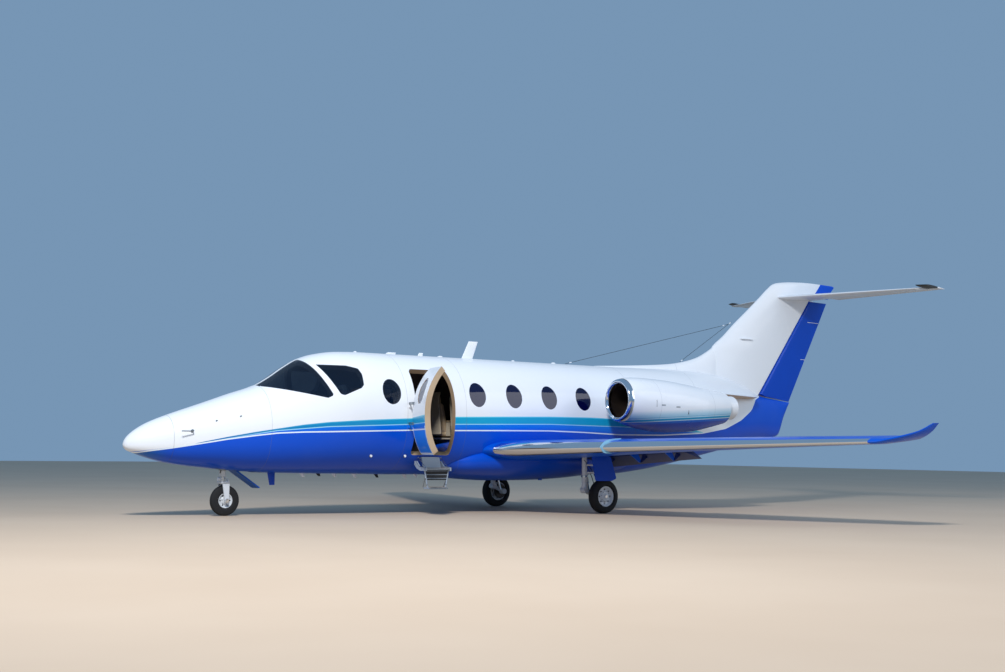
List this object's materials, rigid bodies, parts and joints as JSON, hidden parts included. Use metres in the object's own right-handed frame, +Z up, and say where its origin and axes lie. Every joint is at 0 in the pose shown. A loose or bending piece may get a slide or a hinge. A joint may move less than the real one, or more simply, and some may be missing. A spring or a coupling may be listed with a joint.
{
  "type": "light business jet",
  "caption": "Light twin-engined business jet with a T-tail and low swept wing, parked on its wheels, cabin door open and entry steps down.",
  "frame": {"origin": "on the ground under the middle of the aircraft's box, where length and span are halved", "axes": "+X towards the nose, +Y to port, +Z up"},
  "size_m": [14.7603, 13.2464, 4.284],
  "materials": {
    "white_paint": "gloss",
    "blue_paint": "gloss",
    "dark_blue_paint": "gloss",
    "polished_metal": "polished",
    "engine_metal": "satin",
    "window_glass": "tinted, clear",
    "tyre_rubber": "matt",
    "step_grey": "satin",
    "seat_leather": "soft",
    "carpeted_floor": "carpet over painted beams",
    "cabin_wood": "gloss",
    "panel_black": "matt"
  },
  "bodies": {
    "airframe": {"radome": "white_paint", "nose_section": "white_paint", "cockpit_section": "white_paint", "entry_section": "white_paint", "cabin_section": "white_paint", "rear_fuselage": "white_paint", "belly_fairing": "dark_blue_paint", "cabin_floor": "carpeted_floor", "aft_bulkhead": "cabin_wood", "entry_cabinet": "cabin_wood", "instrument_panel": "panel_black", "airstair": "step_grey", "nose_gear_leg": "white_paint", "nose_gear_door": "blue_paint", "fin": "white_paint", "tailplane": "white_paint", "cockpit_seat_left": "seat_leather", "cabin_seats_left": "seat_leather", "cockpit_glazing_left": "window_glass", "cabin_windows_left": "window_glass", "wing_left": "blue_paint", "leading_edge_left": "polished_metal", "leg_door_left": "blue_paint", "main_gear_leg_left": "white_paint", "nacelle_left": "white_paint", "inlet_lip_left": "polished_metal", "engine_core_left": "engine_metal", "cockpit_seat_right": "seat_leather", "cabin_seats_right": "seat_leather", "cockpit_glazing_right": "window_glass", "cabin_windows_right": "window_glass", "wing_right": "blue_paint", "leading_edge_right": "polished_metal", "leg_door_right": "blue_paint", "main_gear_leg_right": "white_paint", "nacelle_right": "white_paint", "inlet_lip_right": "polished_metal", "engine_core_right": "engine_metal"},
    "door": {"cabin_door": "white_paint", "door_window": "window_glass"},
    "nose_steering": {"nose_gear_fork": "white_paint"},
    "nose_wheel": {"nose_wheel": "white_paint", "nose_tyre": "tyre_rubber"},
    "rudder": {"rudder": "blue_paint"},
    "main_wheel_left": {"main_wheel_left": "white_paint", "main_tyre_left": "tyre_rubber"},
    "flap_left": {"flap_left": "blue_paint"},
    "aileron_left": {"aileron_left": "blue_paint"},
    "elevator_left": {"elevator_left": "white_paint"},
    "fan_left": {"fan_left": "engine_metal"},
    "main_wheel_right": {"main_wheel_right": "white_paint", "main_tyre_right": "tyre_rubber"},
    "flap_right": {"flap_right": "blue_paint"},
    "aileron_right": {"aileron_right": "blue_paint"},
    "elevator_right": {"elevator_right": "white_paint"},
    "fan_right": {"fan_right": "engine_metal"}
  },
  "joints": [
    {"name": "door_hinge", "type": "hinge", "parent": "airframe", "child": "door", "pos_m": [3.295, 0.85, 1.5], "axis": [0, 0, 1], "range_deg": [0, 109]},
    {"name": "nose_steering", "type": "hinge", "parent": "airframe", "child": "nose_steering", "pos_m": [5.892, 0, 0.5], "axis": [0, 0, 1], "range_deg": [-40, 40]},
    {"name": "nose_wheel_spin", "type": "hinge", "parent": "nose_steering", "child": "nose_wheel", "pos_m": [5.85, 0, 0.217], "axis": [0, 1, 0], "continuous": true},
    {"name": "main_wheel_spin_left", "type": "hinge", "parent": "airframe", "child": "main_wheel_left", "pos_m": [-0.01, 1.42, 0.268], "axis": [0, 1, 0], "continuous": true},
    {"name": "main_wheel_spin_right", "type": "hinge", "parent": "airframe", "child": "main_wheel_right", "pos_m": [-0.01, -1.42, 0.268], "axis": [0, 1, 0], "continuous": true},
    {"name": "rudder_hinge", "type": "hinge", "parent": "airframe", "child": "rudder", "pos_m": [-5.06, 0, 2.055], "axis": [-0.6056, 0, 0.7957], "range_deg": [-25, 25]},
    {"name": "elevator_hinge_left", "type": "hinge", "parent": "airframe", "child": "elevator_left", "pos_m": [-6.73162, 0.32, 4.00261], "axis": [-0.2414, 0.9701, 0.0237], "range_deg": [-5, 30]},
    {"name": "elevator_hinge_right", "type": "hinge", "parent": "airframe", "child": "elevator_right", "pos_m": [-6.73162, -0.32, 4.00261], "axis": [0.2414, 0.9701, -0.0237], "range_deg": [-5, 30]},
    {"name": "aileron_hinge_left", "type": "hinge", "parent": "airframe", "child": "aileron_left", "pos_m": [-0.66157, 3.93, 1.11395], "axis": [-0.2497, 0.9676, 0.0388], "range_deg": [-20, 20]},
    {"name": "aileron_hinge_right", "type": "hinge", "parent": "airframe", "child": "aileron_right", "pos_m": [-0.66157, -3.93, 1.11395], "axis": [0.2497, 0.9676, -0.0388], "range_deg": [-20, 20]},
    {"name": "flap_hinge_left", "type": "hinge", "parent": "airframe", "child": "flap_left", "pos_m": [-0.01182, 0.985, 0.74736], "axis": [-0.2389, 0.9685, 0.0702], "range_deg": [-15, 20]},
    {"name": "flap_hinge_right", "type": "hinge", "parent": "airframe", "child": "flap_right", "pos_m": [-0.01182, -0.985, 0.74736], "axis": [0.2389, 0.9685, -0.0702], "range_deg": [-15, 20]},
    {"name": "fan_spin_left", "type": "hinge", "parent": "airframe", "child": "fan_left", "pos_m": [-0.8, 1.33, 1.8], "axis": [1, 0, 0], "continuous": true},
    {"name": "fan_spin_right", "type": "hinge", "parent": "airframe", "child": "fan_right", "pos_m": [-0.8, -1.33, 1.8], "axis": [1, 0, 0], "continuous": true}
  ],
  "couplings": [
    {"joint": "elevator_hinge_right", "follows": "elevator_hinge_left", "ratio": 1},
    {"joint": "aileron_hinge_right", "follows": "aileron_hinge_left", "ratio": -1},
    {"joint": "flap_hinge_right", "follows": "flap_hinge_left", "ratio": 1}
  ]
}
